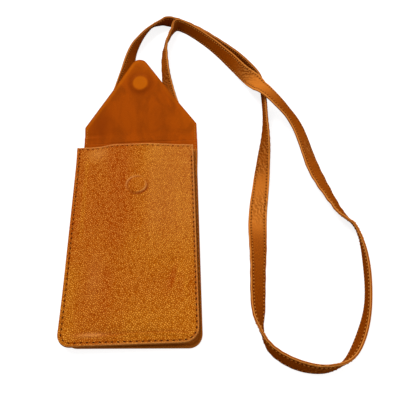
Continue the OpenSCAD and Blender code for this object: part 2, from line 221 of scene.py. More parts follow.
def stitches(name, thread, size, middle, ahead, up):
    """One short bridge of thread for each middle, of that length and width. At share t of
    its length, the thread's middle is lift x (5 sin(pi t) - 3) above the leather, so both
    ends dip into their holes, and its radius is half the width times
    0.4 + 0.6 sin(pi t)."""
    length, width = size
    rings, sides, lift = 5, 6, 0.1 * mm
    t = np.linspace(0, 1, rings)[None, :, None, None]
    turn = (np.arange(sides) * 2 * np.pi / sides)[None, None, :, None]
    ahead, up = unit(ahead), unit(up)
    side = np.cross(ahead, up)
    middle, ahead, up, side = (v[:, None, None, :] for v in (middle, ahead, up, side))
    arch = np.sin(np.pi * t)
    radius = width / 2 * (0.4 + 0.6 * arch)
    points = (middle + ahead * (t - 0.5) * length + up * lift * (5 * arch - 3)
              + radius * (side * np.cos(turn) + up * np.sin(turn)))
    first = (np.arange(len(points)) * rings * sides)[:, None, None]
    faces = (tube_faces(rings, sides)[None] + first).reshape(-1, 4)
    flat = np.stack(np.broadcast_arrays(t * length, turn * width / 2), -1)[:, :, :, 0]
    flat = np.broadcast_to(flat, (len(points), rings, sides, 2))
    ring = np.arange(sides)[None] + first[:, 0]
    caps = np.vstack([ring[:, ::-1], ring + (rings - 1) * sides]).tolist()
    return dress(make_piece(name, points, faces, flat, caps), thread)


def tone(red, green, blue):
    """The linear colour of an sRGB colour from 0 to 255: a share s above 0.04 becomes
    (s + 0.055) / 1.055 to the power of 2.4, and a lower one s / 12.92."""
    shares = np.array([red, green, blue]) / 255
    linear = np.where(shares > 0.04, ((shares + 0.055) / 1.055) ** 2.4, shares / 12.92)
    return (*linear.tolist(), 1)


def plug(tree, made, sockets):
    """Links or sets a shader node's sockets by name."""
    for socket, value in dict(sockets).items():
        if isinstance(value, bpy.types.NodeSocket):
            tree.links.new(value, made.inputs[socket])
        else:
            made.inputs[socket].default_value = value


def node(tree, kind, sockets=(), **settings):
    """Adds a shader node, sets its properties and plugs its sockets."""
    made = tree.nodes.new("ShaderNode" + kind)
    for key, value in settings.items():
        setattr(made, key, value)
    plug(tree, made, sockets)
    return made


def reckon(tree, operation, a, b=0.0, c=0.0, clamp=False):
    """The result of a sum on one to three sockets or numbers."""
    return node(tree, "Math", {0: a, 1: b, 2: c}, operation=operation,
                use_clamp=clamp).outputs[0]


def times(tree, a, b):
    """The product of two sockets or numbers."""
    return reckon(tree, "MULTIPLY", a, b)


def coats(tree, colour, *layers):
    """The colour under a stack of coats, each of which covers its share of the last."""
    for share, coat in layers:
        colour = node(tree, "Mix", {0: share, 6: colour, 7: coat},
                      data_type="RGBA").outputs[2]
    return colour


def ramp(tree, value, low, high):
    """A soft step of a value, 0 at low and 1 at high."""
    return node(tree, "MapRange", {"Value": value, "From Min": low, "From Max": high},
                interpolation_type="SMOOTHSTEP").outputs[0]


def shift(tree, value, low, high):
    """A value from 0 to 1, brought to between low and high."""
    return node(tree, "MapRange", {"Value": value, "To Min": low, "To Max": high}).outputs[0]


def mapped(tree, place, turn=0.0, stretch=(1.0, 1.0, 1.0)):
    """Places turned, in radians, about the axis through the leather, and stretched."""
    return node(tree, "Mapping", {"Vector": place, "Rotation": (0, 0, turn),
                                  "Scale": stretch}).outputs[0]


def noise(tree, place, scale, detail, **sockets):
    """The outputs of a noise of that scale and detail."""
    return node(tree, "TexNoise", {"Vector": place, "Scale": scale, "Detail": detail,
                                   **sockets}).outputs


def bumps(tree, height, strength, depth):
    """The way that the surface faces on bumps of that height and depth."""
    return node(tree, "Bump", {"Height": height, "Strength": strength,
                               "Distance": depth}).outputs[0]


def mark_of(tree, name):
    """The share that a piece's mark gives, as painted on its points."""
    return node(tree, "Attribute", attribute_name=name).outputs["Fac"]


def new_material(name):
    """A new material, its node tree and its shader."""
    made = bpy.data.materials.new(name)
    made.use_nodes = True
    return made, made.node_tree, made.node_tree.nodes["Principled BSDF"]


def flat_place(tree):
    """The place on the flat cut piece."""
    return node(tree, "UVMap", uv_map="flat").outputs[0]


def pattern_group(name, size, *outputs):
    """A shader group that takes the place on the flat piece and the size of its pattern.
    It comes with the place counted in that size, and the node that its outputs go to."""
    tree = bpy.data.node_groups.new(name, "ShaderNodeTree")
    for socket, way, kind in (("Place", "INPUT", "Vector"), (size, "INPUT", "Float"),
                              *((output, "OUTPUT", "Float") for output in outputs)):
        tree.interface.new_socket(socket, in_out=way, socket_type="NodeSocket" + kind)
    start, end = tree.nodes.new("NodeGroupInput"), tree.nodes.new("NodeGroupOutput")
    count = reckon(tree, "DIVIDE", 1.0, start.outputs[size])
    place = node(tree, "VectorMath", {0: start.outputs["Place"], "Scale": count},
                 operation="SCALE").outputs[0]
    return tree, place, end


def pebble_grain_group():
    """Pebbles of grained leather. Slanting cells of the given size, bent a little, rise
    from valleys at their borders: Height is the soft step of the distance to the border,
    with finer cells and noise on it, Valley is its opposite, and Speck is a number for
    each pebble."""
    tree, place, end = pattern_group("pebble_grain", "Cell", "Height", "Valley", "Speck")
    place = mapped(tree, place, turn=0.6)
    bend = node(tree, "VectorMath", {0: noise(tree, place, 0.6, 2.0)["Color"],
                                     "Scale": 0.9}, operation="SCALE").outputs[0]
    place = node(tree, "VectorMath", {0: place, 1: bend}, operation="ADD").outputs[0]
    cells = {"Vector": place, "Scale": 1.0, "Randomness": 0.87}
    border, small = (node(tree, "TexVoronoi", sockets,
                          feature="DISTANCE_TO_EDGE").outputs["Distance"]
                     for sockets in (cells, {"Vector": place, "Scale": 2.3}))
    top = ramp(tree, border, 0.0, 0.32)
    height = reckon(tree, "MULTIPLY_ADD", ramp(tree, small, 0.0, 0.25), 0.15,
                    times(tree, top, 0.75))
    height = reckon(tree, "MULTIPLY_ADD", noise(tree, place, 3.1, 3.0)[0], 0.1, height,
                    clamp=True)
    colour = node(tree, "TexVoronoi", cells).outputs["Color"]
    plug(tree, end, {"Height": height, "Valley": reckon(tree, "SUBTRACT", 1.0, top),
                     "Speck": node(tree, "SeparateColor", {0: colour}).outputs[0]})
    return tree


def patina_group():
    """Slow change of tone over a hide, three times as long as it is wide: Tone is noise of
    the given spread, raised in contrast, and Streak is finer."""
    tree, place, end = pattern_group("patina", "Spread", "Tone", "Streak")
    long = mapped(tree, place, stretch=(1.0, 0.35, 1.0))
    plug(tree, end, {"Tone": ramp(tree, noise(tree, long, 1.0, 3.0, Roughness=0.45)[0],
                                  0.3, 0.7),
                     "Streak": ramp(tree, noise(tree, long, 3.0, 2.0)[0], 0.3, 0.75)})
    return tree


pebble_grain = pebble_grain_group()
patina = patina_group()


def grained_leather(name, deep, light, crest, valley, edge, cell, depth, spread, dark,
                    fresh, shine=(0.36, 0.5), gloss=0.05, holes=0.0, low_share=0.0):
    """Grain side of tan leather. The tone runs from deep to light with the patina, of
    which fresh is the share, and with the mark for wear and painted light, which makes
    it paler. The pebbles turn to crest on their tops and to valley between them, a
    darkening that is partly the grain's tone and partly painted shade in the hollows,
    and some lie low and are darker by low_share. The mark edge shows the cut edge's
    tone. That tone is also laid on as painted highlight where the mark sheen is and on
    the ridges of the fine bent waves that run slanting where the mark crease is, while
    their grooves get painted shade. The mark seam darkens the sewn line, most in its
    punched holes, which stand that far apart along the piece; on the front it also
    carries painted shade along the closed end's fold and round the pressed ring.
    Roughness rises from the pebbles' tops to their valleys."""
    made, tree, shader = new_material(name)
    place = flat_place(tree)
    grain = node(tree, "Group", {"Place": place, "Cell": cell},
                 node_tree=pebble_grain).outputs
    aged = node(tree, "Group", {"Place": place, "Spread": spread}, node_tree=patina).outputs
    share = reckon(tree, "ADD", aged["Streak"], aged["Tone"])
    share = reckon(tree, "MULTIPLY_ADD", share, fresh, mark_of(tree, "wear_and_painted_light"), clamp=True)
    speck = reckon(tree, "MULTIPLY_ADD", grain["Speck"], 0.12, 0.42)
    top = times(tree, ramp(tree, grain["Height"], 0.45, 0.95), speck)
    low = times(tree, ramp(tree, grain["Speck"], 0.42, 0.12), low_share)
    waves = node(tree, "TexWave", {"Vector": mapped(tree, place, turn=1.1), "Scale": 100.0,
                                   "Distortion": 9.0, "Detail": 3.0, "Detail Scale": 2.0},
                 bands_direction="Y").outputs[1]
    creased, seam_and_painted_shade, cut = (mark_of(tree, mark) for mark in ("crease", "seam", "edge"))
    crease = times(tree, waves, creased)
    grain_and_painted_shade = reckon(tree, "MULTIPLY_ADD", grain["Valley"], dark, low)
    grain_and_painted_shade = reckon(tree, "MULTIPLY_ADD", crease, 0.5, grain_and_painted_shade, clamp=True)
    painted_ridge_highlight = times(tree, reckon(tree, "SUBTRACT", 0.45, waves, clamp=True), creased)
    painted_highlight = reckon(tree, "MULTIPLY_ADD", mark_of(tree, "sheen"), 0.7, painted_ridge_highlight, clamp=True)
    seam = times(tree, seam_and_painted_shade, 0.45)
    if holes:
        turn = times(tree, node(tree, "SeparateXYZ", {0: place}).outputs["Y"],
                     2 * math.pi / holes)
        punched = times(tree, ramp(tree, reckon(tree, "COSINE", turn), 0.1, -0.7), seam_and_painted_shade)
        seam = reckon(tree, "MULTIPLY_ADD", punched, 0.9, times(tree, seam_and_painted_shade, 0.2))
    rough = reckon(tree, "MAXIMUM", shift(tree, grain["Height"], shine[1], shine[0]),
                   times(tree, cut, 0.8))
    height = reckon(tree, "MULTIPLY_ADD", crease, -4.0, grain["Height"])
    plug(tree, shader, {
        "Base Color": coats(tree, deep, (share, light), (top, crest), (grain_and_painted_shade, valley),
                            (painted_highlight, edge), (seam, valley), (cut, edge)),
        "Roughness": rough, "Specular IOR Level": gloss,
        "Specular Tint": (1, 0.6, 0.2, 1), "Normal": bumps(tree, height, 1.0, depth)})
    return made


def sewing_thread(name, colour, shade):
    """Waxed thread: two plies wound at a slant, so the tone and the bump run in slanted
    bands along each stitch."""
    made, tree, shader = new_material(name)
    band = node(tree, "TexWave", {"Vector": flat_place(tree), "Scale": 320.0,
                                  "Distortion": 1.0}, bands_direction="DIAGONAL").outputs[1]
    plug(tree, shader, {
        "Base Color": coats(tree, shade, (band, colour)),
        "Roughness": reckon(tree, "MULTIPLY_ADD", band, -0.2, 0.7),
        "Specular IOR Level": 0.05, "Normal": bumps(tree, band, 0.6, 0.1 * mm)})
    return made


def strap_creases(along, across):
    """Where the strap is creased, from 0 to 1: bells along it at the places, in mm, at
    which it turns over or is squeezed, stronger towards one edge."""
    marks = 0 * (along + across)
    for place, spread, lean_to in ((415, 10, 0), (436, 9, -0.4), (477, 14, 0.3),
                                   (640, 9, -0.4), (868, 9, 0.6), (975, 13, 0.9),
                                   (1125, 8, 0), (1170, 10, 0)):
        side = 0.7 + lean_to * across / (strap_w / 2) * 0.6
        marks = marks + hump(along, place * mm, spread * mm) * np.clip(side, 0, 1)
    return np.clip(marks, 0, 1)


def strap_painted_light(along, across):
    """Painted light on the strap, from 0 to 1: bells along it, in mm, at the stretches that
    lie face up in the light, and a painted highlight line inside each edge."""
    line = 0.25 * hump(np.abs(across), strap_w / 2 - 0.5 * mm, 0.4 * mm)
    wear_and_painted_light = line + 0 * along
    for place, spread, share in ((464, 34, 0.8), (490, 14, 0.4), (528, 20, 0.1),
                                 (850, 60, 0.13), (955, 24, 1), (1145, 12, 0.12),
                                 (1200, 18, 0.4)):
        wear_and_painted_light = wear_and_painted_light + share * hump(along, place * mm, spread * mm)
    return np.clip(wear_and_painted_light, 0, 1)


def ribbon(name, along, middle, across_way, through, wrinkle=None):
    """Closed ribbon: the strap's ring of points, carried along its route. A point of the
    ring is the middle plus across times its place over the width, plus through times the
    face's height and the wrinkle there. The ring is 3 percent wider than the strap, and
    about 1 percent more or less along it."""
    inset = np.array([0, 0.12, 0.4, 0.9, 1.4, 1.75, 2, 2.25, 2.7, 3.8, 5.4]) * mm
    half = strap_w / 2 - inset
    over = np.concatenate([half, [0], -half[::-1]])
    wall = strap_w / 2 + np.array([0.16, 0.25, 0.16]) * mm
    step = np.array([0.4, 0, -0.4]) * mm
    across = np.concatenate([over, -wall, over[::-1], wall])
    height = np.concatenate([strap_thick(over), step, -strap_thick(over[::-1]), -step])
    push = wrinkle(along[:, None], across[None]) if wrinkle else 0
    width = 1.03 + 0.012 * np.sin(along / (17 * mm)) * np.sin(along / (5.3 * mm))
    points = (middle[:, None] + across_way[:, None] * (across * width[:, None])[..., None]
              + through[:, None] * (height[None] + push)[..., None])
    sides = len(across)
    round_run = np.append(0, np.cumsum(np.hypot(np.diff(across), np.diff(height))))
    flat = np.stack(np.broadcast_arrays(round_run[None], along[:, None]), -1)
    # The mark edge lays the cut edge's pale tone as a painted highlight along the rounded
    # corners of both faces, and only a little on the cut wall itself.
    cut = np.interp(inset, inset[:4], [0.7, 0.9, 0.1, 0])
    face, bare = [*cut, 0, *cut[::-1]], [0.2, 0, 0.2]
    seam = hump(np.abs(across), strap_w / 2 - strap_seam_in, 0.55 * mm)
    marks = {"edge": np.tile([*face, *bare, *face, *bare], len(along)),
             "seam": np.tile(seam, len(along))}
    if wrinkle:
        marks["crease"] = strap_creases(along[:, None], across[None])
        marks["wear_and_painted_light"] = strap_painted_light(along[:, None], across[None])
    ring = np.arange(sides)
    caps = [ring[::-1], ring + (len(along) - 1) * sides]
    return make_piece(name, points, tube_faces(len(along), sides), flat, caps, marks)


def strap_stitches():
    """Rows of stitches along both edges of both faces, at one pitch."""
    along, middle, ahead, across_way, through = strap_lie(strap_pitch)
    rows = []
    for face, edge in ((1, 1), (1, -1), (-1, 1), (-1, -1)):
        across = np.full(len(along), edge * (strap_w / 2 - strap_seam_in))
        height = face * strap_thick(across) + strap_wrinkle(along, across)
        place = middle + across_way * across[:, None] + through * height[:, None]
        rows.append(np.stack([place, ahead, face * through])[:, 2:-2])
    return stitches("strap_thread", pale_thread, strap_stitch, *np.concatenate(rows, 1))


strap_leather = grained_leather(
    "strap_leather", tone(147, 61, 0), tone(238, 138, 48), tone(190, 94, 6),
    tone(84, 30, 0), tone(234, 154, 72), cell=1.3 * mm, depth=0.1 * mm, spread=60 * mm,
    dark=0.3, fresh=0.06, shine=(0.5, 0.65), gloss=0.0, holes=strap_lie(strap_pitch)[0][1])
pale_thread = sewing_thread("pale_thread", tone(230, 152, 64), tone(174, 92, 18))
dark_thread = sewing_thread("dark_thread", tone(96, 38, 1), tone(58, 20, 0))

along, strap_middle, ahead, across_way, through = strap_lie(ring_step)
strap = ribbon("strap_band", along, strap_middle, across_way, through, strap_wrinkle)
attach(dress(strap, strap_leather), "pouch")
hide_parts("strap")
strap_thread = strap_stitches()
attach(strap_thread, "pouch")


# ------------------------------
# Strap ends. Both ends of the strap go flat under the back panel's top corners and are
# sewn on there.


def strap_end(node_name, name):
    """One flat end: the strap's ring carried straight along the node's box, with its own
    edge seams and a row of stitches across near each end of it."""
    low, high = (np.array(corner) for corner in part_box(node_name))
    rows = np.linspace(low[1], high[1], 16)
    middle = np.tile((low + high) / 2, (16, 1))
    middle[:, 1] = rows
    end = ribbon(name, rows - low[1], middle, np.tile((1.0, 0, 0), (16, 1)),
                 np.tile((0, 0, 1.0), (16, 1)))
    places = [(middle[0, 0] + across * mm, y, low[2] + 0.15 * mm)
              for y in (low[1] + 2 * mm, mouth_y - 3 * mm)
              for across in (-4.2, -2.1, 0, 2.1, 4.2)]
    edges = [(middle[0, 0] + side * (strap_w / 2 - strap_seam_in), y, low[2] + 0.35 * mm)
             for side in (-1, 1)
             for y in np.arange(low[1] + 4 * mm, mouth_y - 4 * mm, strap_pitch)]
    ways = [(1.0, 0, 0)] * len(places) + [(0, 1.0, 0)] * len(edges)
    thread = stitches(name + "_thread", pale_thread, fine_stitch, np.array(places + edges),
                      np.array(ways), np.tile((0, 0, -1.0), (len(ways), 1)))
    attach(dress(end, strap_leather), "pouch")
    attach(thread, "pouch")
    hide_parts(node_name)


back_low, back_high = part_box("back_panel")
mouth_y = back_high.y
strap_end("strap_end_left", "strap_tail_left")
strap_end("strap_end_right", "strap_tail_right")


# ------------------------------
# Back panel, wrap and flap. One sheet of grained tan leather, 1.2 mm thick: it lies flat
# under the pouch, turns over the mouth at two creases and ends in the pointed flap. It is
# made as two pieces that meet in the middle of the wrap, since it bends at both creases.
end_y = back_low.y
side_x = back_high.x
corner_r = 10.5 * mm
leather_t = 1.2 * mm
skin_t = 1.85 * mm
fold_at, flap_at = (Vector(joint["pos_m"]) for joint in frame["joints"])
fold_len = (flap_at - fold_at).length
fold_open = math.atan2(flap_at.z - fold_at.z, flap_at.y - fold_at.y)
flap_open = math.radians(18)
ramp_h = fold_at.z - skin_t / 2
ramp_from, ramp_run = 54.5 * mm, 13 * mm
shoulder_at, shoulder_r = 26.4 * mm, 2 * mm
tip_middle, tip_r = np.array([-0.8, 87]) * mm, 8.2 * mm
leather_low, leather_high = -skin_t / 2, -skin_t / 2 + leather_t
back_end = end_y - fold_at.y
seam_pitch = 4.5 * mm


def skin_wave(x, along):
    """Soft unevenness of the open flap, square to it: two crossing waves of 0.35 mm, a
    wrinkle across the left side of its base and a shallow hollow over the wrap."""
    wave = 0.35 * mm * np.sin(x / (17 * mm) + along / (31 * mm)) * np.sin(along / (21 * mm) + 1)
    side = ease((-x - 34 * mm) / (8 * mm))
    wrinkle = 0.55 * mm * hump(along, 14.8 * mm + 0.06 * (x + 44 * mm), 1.5 * mm) * side
    wrinkle -= 0.4 * mm * hump(along, 18.2 * mm, 1.7 * mm) * side
    return (wave + wrinkle) * ease((along - 3 * mm) / (12 * mm))


def back_askew(x, y):
    """How the soft back lies off its square place, in x and y: its right side is drawn in
    by up to 0.8 mm away from the mouth, and its closed end turns by 0.033 mm for each mm
    of x, fading out 60 mm from that end."""
    in_x = -0.8 * mm * np.maximum(x, 0) / side_x * ease((mouth_y - y) / (30 * mm))
    return in_x, -0.033 * x * (1 - ease((y - end_y) / (60 * mm)))


def skin_place(x, along, height):
    """Places on the sheet: x across, along from the first crease (less than 0 on the back
    panel) and height over its middle plane. The back panel is level and lies a little
    askew, with a soft step up onto the strap ends. Past the crease the sheet's line is the
    running sum of the cosine and sine of its slope, which eases to the wrap's and then to
    the flap's. Heights are measured square to the line."""
    fine = np.arange(-4, 100, 0.1) * mm
    slope = (fold_open * ease((fine + 2.5 * mm) / (5 * mm))
             + (flap_open - fold_open) * ease((fine - fold_len + 3 * mm) / (6 * mm)))
    flap_y = fold_at.y + fine[0] + np.cumsum(np.cos(slope)) * 0.1 * mm
    flap_z = fold_at.z + np.cumsum(np.sin(slope)) * 0.1 * mm
    back = np.arange(back_end - 2 * mm, fine[0], 0.5 * mm)
    back_z = fold_at.z - ramp_h * (1 - ease((fold_at.y + back - ramp_from) / ramp_run))
    line = np.append(back, fine)
    line_y = np.append(fold_at.y + back, flap_y)
    line_z = np.append(back_z, flap_z)
    tilt = np.arctan2(np.gradient(line_z), np.gradient(line_y))
    y, z, tilt = (np.interp(along, line, values) for values in (line_y, line_z, tilt))
    high = height + skin_wave(x, along)
    in_x, in_y = back_askew(x, fold_at.y + along)
    return np.stack(np.broadcast_arrays(x + in_x, y + in_y - np.sin(tilt) * high,
                                        z + np.cos(tilt) * high), -1)


def columns_across():
    """x of the columns over a panel with rounded lower corners: even steps of angle round
    each corner, and even steps of about 1.5 mm between them."""
    turn = np.radians(np.arange(0, 91, 4.5))
    corner = side_x - corner_r + corner_r * np.sin(turn)
    count = int(2 * (side_x - corner_r) / (1.5 * mm))
    flat = np.linspace(corner_r - side_x, side_x - corner_r, count + 1)[1:-1]
    return np.concatenate([-corner[::-1], flat, corner])


def rows_up(reach):
    """Shares of the way up a panel of that reach: rows 0.6 mm apart over the first 11 mm,
    where the corners are, then about 1.5 mm apart."""
    fine_run = 11 * mm
    near = np.arange(0, fine_run, 0.6 * mm)
    far = np.linspace(fine_run, reach, int((reach - fine_run) / (1.5 * mm)) + 1)
    return np.append(near, far) / reach


def finer(values, low, high, step):
    """The values, with even steps in place of those from low to high."""
    rest = values[(values < low - step / 2) | (values > high + step / 2)]
    return np.sort(np.append(rest, np.arange(low, high, step)))


def panel_grid(top, close=None):
    """x and y over a panel from its closed end, with its rounded corners, to the height
    top. Each column runs straight up from the outline's lower edge. Close is the middle x
    and y and the reach of a place with steps of 0.45 mm."""
    x, rows = columns_across(), rows_up(top - end_y)
    if close:
        across, up, reach = close
        step = 0.45 * mm
        x = finer(x, across - reach, across + reach, step)
        low, high = (np.array([up - reach, up + reach]) - end_y) / (top - end_y)
        rows = finer(rows, low, high, step / (top - end_y))
    past = np.clip(np.abs(x) - (side_x - corner_r), 0, corner_r)
    lower = end_y + corner_r - np.sqrt(corner_r ** 2 - past ** 2)
    y = lower[None] + rows[:, None] * (top - lower)[None]
    return np.broadcast_to(x, y.shape), y


def seam_in(x):
    """How far in from the edge the seam runs: 2.6 mm at the left side, 1.6 at the right."""
    return 2.1 * mm - 0.5 * mm * x / side_x


def rim_distance(x, y):
    """How far a place is in from the sewn outline: from the sides and the closed end, and
    in the corners from the round there."""
    past_x = np.abs(x) - (side_x - corner_r)
    past_y = end_y + corner_r - y
    straight = np.minimum(side_x - np.abs(x), y - end_y)
    round_corner = corner_r - np.hypot(past_x, past_y)
    return np.where((past_x > 0) & (past_y > 0), round_corner, straight)


def outward(grid):
    """Directions square to a grid of points: the cross product of its way across and its
    way up, as unit vectors."""
    return unit(np.cross(np.gradient(grid, axis=1), np.gradient(grid, axis=0)))


def closed_skin(name, top, under, flat, marks=None, round_off=0.18 * mm, meets=None):
    """Closed skin between two grids of points, top over under. The border is bridged by
    three more rings, pushed out by round_off times sin(pi t) at share t of the way down,
    which rounds the cut edge. The mark edge is 1 there, 0.6 on the border and 0 inside.
    The row named by meets isn't a cut edge: another skin goes on from it, so it stays
    square and unmarked."""
    up, across = top.shape[:2]
    index = np.arange(up * across).reshape(up, across)
    border = np.concatenate([index[0, :-1], index[:-1, -1], index[-1, :0:-1],
                             index[:0:-1, 0]])
    inner = index.copy()
    inner[:, 0], inner[:, -1] = index[:, 1], index[:, -2]
    inner[0], inner[-1] = inner[1], inner[-2]
    a, b = top.reshape(-1, 3), under.reshape(-1, 3)
    count, ring = up * across, len(border)
    out = unit(a[border] - a[inner.ravel()[border]])
    cut = np.ones(ring)
    if meets is not None:
        cut[np.isin(border, index[meets, 1:-1])] = 0
    shares = np.array([0.25, 0.5, 0.75])[:, None, None]
    bridge = a[border] * (1 - shares) + b[border] * shares
    bridge = bridge + (out * cut[:, None]) * round_off * np.sin(np.pi * shares)
    points = np.vstack([a, b, bridge.reshape(-1, 3)])
    cell = index[:-1, :-1].ravel()
    quads = np.stack([cell, cell + 1, cell + across + 1, cell + across], 1)
    loops = np.vstack([border, 2 * count + np.arange(3 * ring).reshape(3, ring),
                       border + count])
    step = np.roll(loops, -1, axis=1)
    walls = np.stack([loops[:-1], loops[1:], step[1:], step[:-1]], -1).reshape(-1, 4)
    quads = np.vstack([quads, quads[:, ::-1] + count, walls])
    flat = flat.reshape(-1, 2)
    flat = np.vstack([flat, flat, np.tile(flat[border], (3, 1))])
    painted = {"edge": np.concatenate([np.zeros(2 * count), np.tile(cut, 3)])}
    painted["edge"][border] = painted["edge"][border + count] = 0.6 * cut
    for mark, values in (marks or {}).items():
        values = np.ravel(values)
        painted[mark] = np.concatenate([values, values, np.tile(values[border], 3)])
    return make_piece(name, points, quads, flat, marks=painted)


def seam_line(x, y):
    """The sewn line's share on a panel: a bell 0.8 mm wide about the seam."""
    return hump(rim_distance(x, y), seam_in(x), 0.8 * mm)


def flap_outline():
    """x and along of the flap's edge from its left side round the tip to the right side:
    short rounds at the shoulders, slants that are hollow by 0.3 mm on the left and 0.5 mm
    on the right, and the round tip that both slants touch."""
    parts = []
    for side in (-1, 1):
        shoulder = np.array([side * side_x, shoulder_at])
        to_tip = tip_middle - shoulder
        reach = np.hypot(*to_tip)
        slant = math.atan2(to_tip[1], to_tip[0]) - side * math.asin(tip_r / reach)
        square = slant - side * math.pi / 2
        side_way = 0 if side > 0 else math.pi
        cut = shoulder_r * math.tan(abs(square - side_way) / 2)
        middle = np.array([side * (side_x - shoulder_r), shoulder_at - cut])
        turn = np.linspace(side_way, square, 8)
        round_1 = middle + shoulder_r * np.stack([np.cos(turn), np.sin(turn)], 1)
        turn = np.linspace(square, math.pi / 2, 14)
        round_2 = tip_middle + tip_r * np.stack([np.cos(turn), np.sin(turn)], 1)
        share = np.linspace(0, 1, 42)[1:-1, None]
        straight = round_1[-1] * (1 - share) + round_2[0] * share
        swell = (-0.3 if side < 0 else -0.5) * mm * np.sin(np.pi * share) ** 2
        straight = straight + swell * np.array([math.cos(square), math.sin(square)])
        parts.append(np.vstack([round_1, straight, round_2]))
    return np.vstack([parts[0][:-1], parts[1][::-1]])


def back_grid():
    """x and along over the back panel and the first half of the wrap."""
    x, y = panel_grid(fold_at.y + fold_len / 2)
    return x, y - fold_at.y


def flap_grid():
    """x and along over the second half of the wrap and the flap: straight columns from
    the middle of the wrap to the outline."""
    edge = flap_outline()
    shares = np.linspace(0, 1, 64)[:, None]
    along = fold_len / 2 * (1 - shares) + edge[:, 1] * shares
    return np.broadcast_to(edge[:, 0], along.shape), along


def back_hollow(x, along):
    """Seam groove in the back panel's outer face, 0.35 mm deep."""
    y = fold_at.y + along
    return 0.35 * mm * seam_line(x, y) * (y < mouth_y)


tan_leather = grained_leather(
    "tan_leather", tone(205, 91, 0), tone(234, 140, 20), tone(236, 170, 78),
    tone(132, 42, 0), tone(230, 152, 80), cell=1.4 * mm, depth=0.22 * mm, spread=34 * mm,
    dark=0.78, fresh=0.15, shine=(0.4, 0.6), gloss=0.03, low_share=0.08)

x, along = back_grid()
flat_back = np.stack([x, along], -1)
back_sheet = closed_skin("back_sheet", skin_place(x, along, leather_high),
                         skin_place(x, along, leather_low + back_hollow(x, along)),
                         flat_back, {"seam": seam_line(x, fold_at.y + along)}, meets=-1)
x, along = flap_grid()
flat_flap = np.stack([x, along], -1)
flap_sheet = closed_skin("flap_sheet", skin_place(x, along, leather_high),
                         skin_place(x, along, leather_low), flat_flap, meets=0)


def bend_at_first(piece):
    """Bakes the piece's transform into its mesh."""
    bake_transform(piece)


def bend_at_second(piece):
    """Bakes the piece's transform into its mesh."""
    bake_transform(piece)


bend_at_first(dress(back_sheet, tan_leather))
bend_at_second(dress(flap_sheet, tan_leather))
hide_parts("back_panel", "fold_leather")
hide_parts("flap_leather", "fold_leather")


# ------------------------------
# Suede lining of the back and the flap. One sheet of rust suede, 0.6 mm thick, glued to
# the leather. On the flap it goes over the thin magnet, which shows as a raised disc.
flap_magnet_low, flap_magnet_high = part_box("flap_magnet")
disc_x = (flap_magnet_low.x + flap_magnet_high.x) / 2
disc_along = fold_len + (Vector(((flap_magnet_low + flap_magnet_high) / 2)[1:])
                         - Vector(flap_at[1:])).length
disc_r, disc_rise = 7.1 * mm, 1.25 * mm


def nap_group():
    """Nap of suede. Brushed is the slow change between patches that lie one way and the
    other, Fuzz is fine noise of the given size, streaked a little, for bump and tone."""
    tree, place, end = pattern_group("nap", "Patch", "Brushed", "Fuzz")
    turned = mapped(tree, place, turn=0.6, stretch=(1.0, 0.5, 1.0))
    patch = noise(tree, turned, 1.0, 4.0, Roughness=0.6, Distortion=0.6)[0]
    plug(tree, end, {"Brushed": ramp(tree, patch, 0.32, 0.68),
                     "Fuzz": noise(tree, turned, 34.0, 4.0, Roughness=0.75)[0]})
    return tree


nap = nap_group()


def brushed_suede(name, dark, mid, light, patch):
    """Split leather with a short nap: patches from dark to mid, fine fuzz towards light,
    the mark halo darkens it, the mark pale lightens it and the mark edge shows the dark
    cut."""
    made, tree, shader = new_material(name)
    lie = node(tree, "Group", {"Place": flat_place(tree), "Patch": patch},
               node_tree=nap).outputs
    fuzz = ramp(tree, lie["Fuzz"], 0.35, 0.75)
    halo, pale = (times(tree, mark_of(tree, mark), 0.8) for mark in ("halo", "pale"))
    plug(tree, shader, {
        "Base Color": coats(tree, dark, (lie["Brushed"], mid), (times(tree, fuzz, 0.4), light),
                            (halo, dark), (pale, light), (mark_of(tree, "edge"), dark)),
        "Roughness": reckon(tree, "MULTIPLY_ADD", fuzz, 0.1, 0.86),
        "Sheen Weight": 0.03, "Sheen Roughness": 0.6, "Sheen Tint": (1, 0.6, 0.25, 1),
        "Specular IOR Level": 0.04, "Normal": bumps(tree, lie["Fuzz"], 0.7, 0.25 * mm)})
    return made


def disc_bump(x, along):
    """Rise of the lining over the flap's magnet: full over the disc, then a soft fall."""
    away = np.hypot(x - disc_x, along - disc_along)
    return disc_rise * ease((disc_r + 3.6 * mm - away) / (3.4 * mm))


def disc_marks(x, along):
    """Marks of the magnet's disc: pale over it, halo in a soft ring round it. The flap is
    paler along its edges, most on the left slant, at the tip and on the right of its base,
    and darker on the left of its base."""
    away = np.hypot(x - disc_x, along - disc_along)
    edge = flap_outline()
    near_side = ease((np.abs(x) - side_x + 5 * mm) / (6 * mm))
    to_edge = np.min(np.hypot(x[..., None] - edge[:, 0], along[..., None] - edge[:, 1]), -1)
    band = hump(to_edge, 1.8 * mm, 1.5 * mm) * (0.2 + 0.35 * (x < disc_x))
    on_disc = 0.9 * ease((disc_r + 0.6 * mm - away) / (1.8 * mm))
    off_disc = away > disc_r
    pale = (np.maximum(on_disc, np.maximum(band, near_side * 0.25))
            + 0.2 * hump(along, 92 * mm, 14 * mm) * off_disc
            + 0.15 * hump(x, 44 * mm, 14 * mm) * hump(along, 30 * mm, 12 * mm))
    halo = (0.8 * hump(away, disc_r + 3 * mm, 3 * mm) * off_disc
            + 0.9 * hump(x, -38 * mm, 13 * mm) * hump(along, 28 * mm, 16 * mm))
    return {"pale": np.clip(pale, 0, 1), "halo": np.clip(halo, 0, 1)}


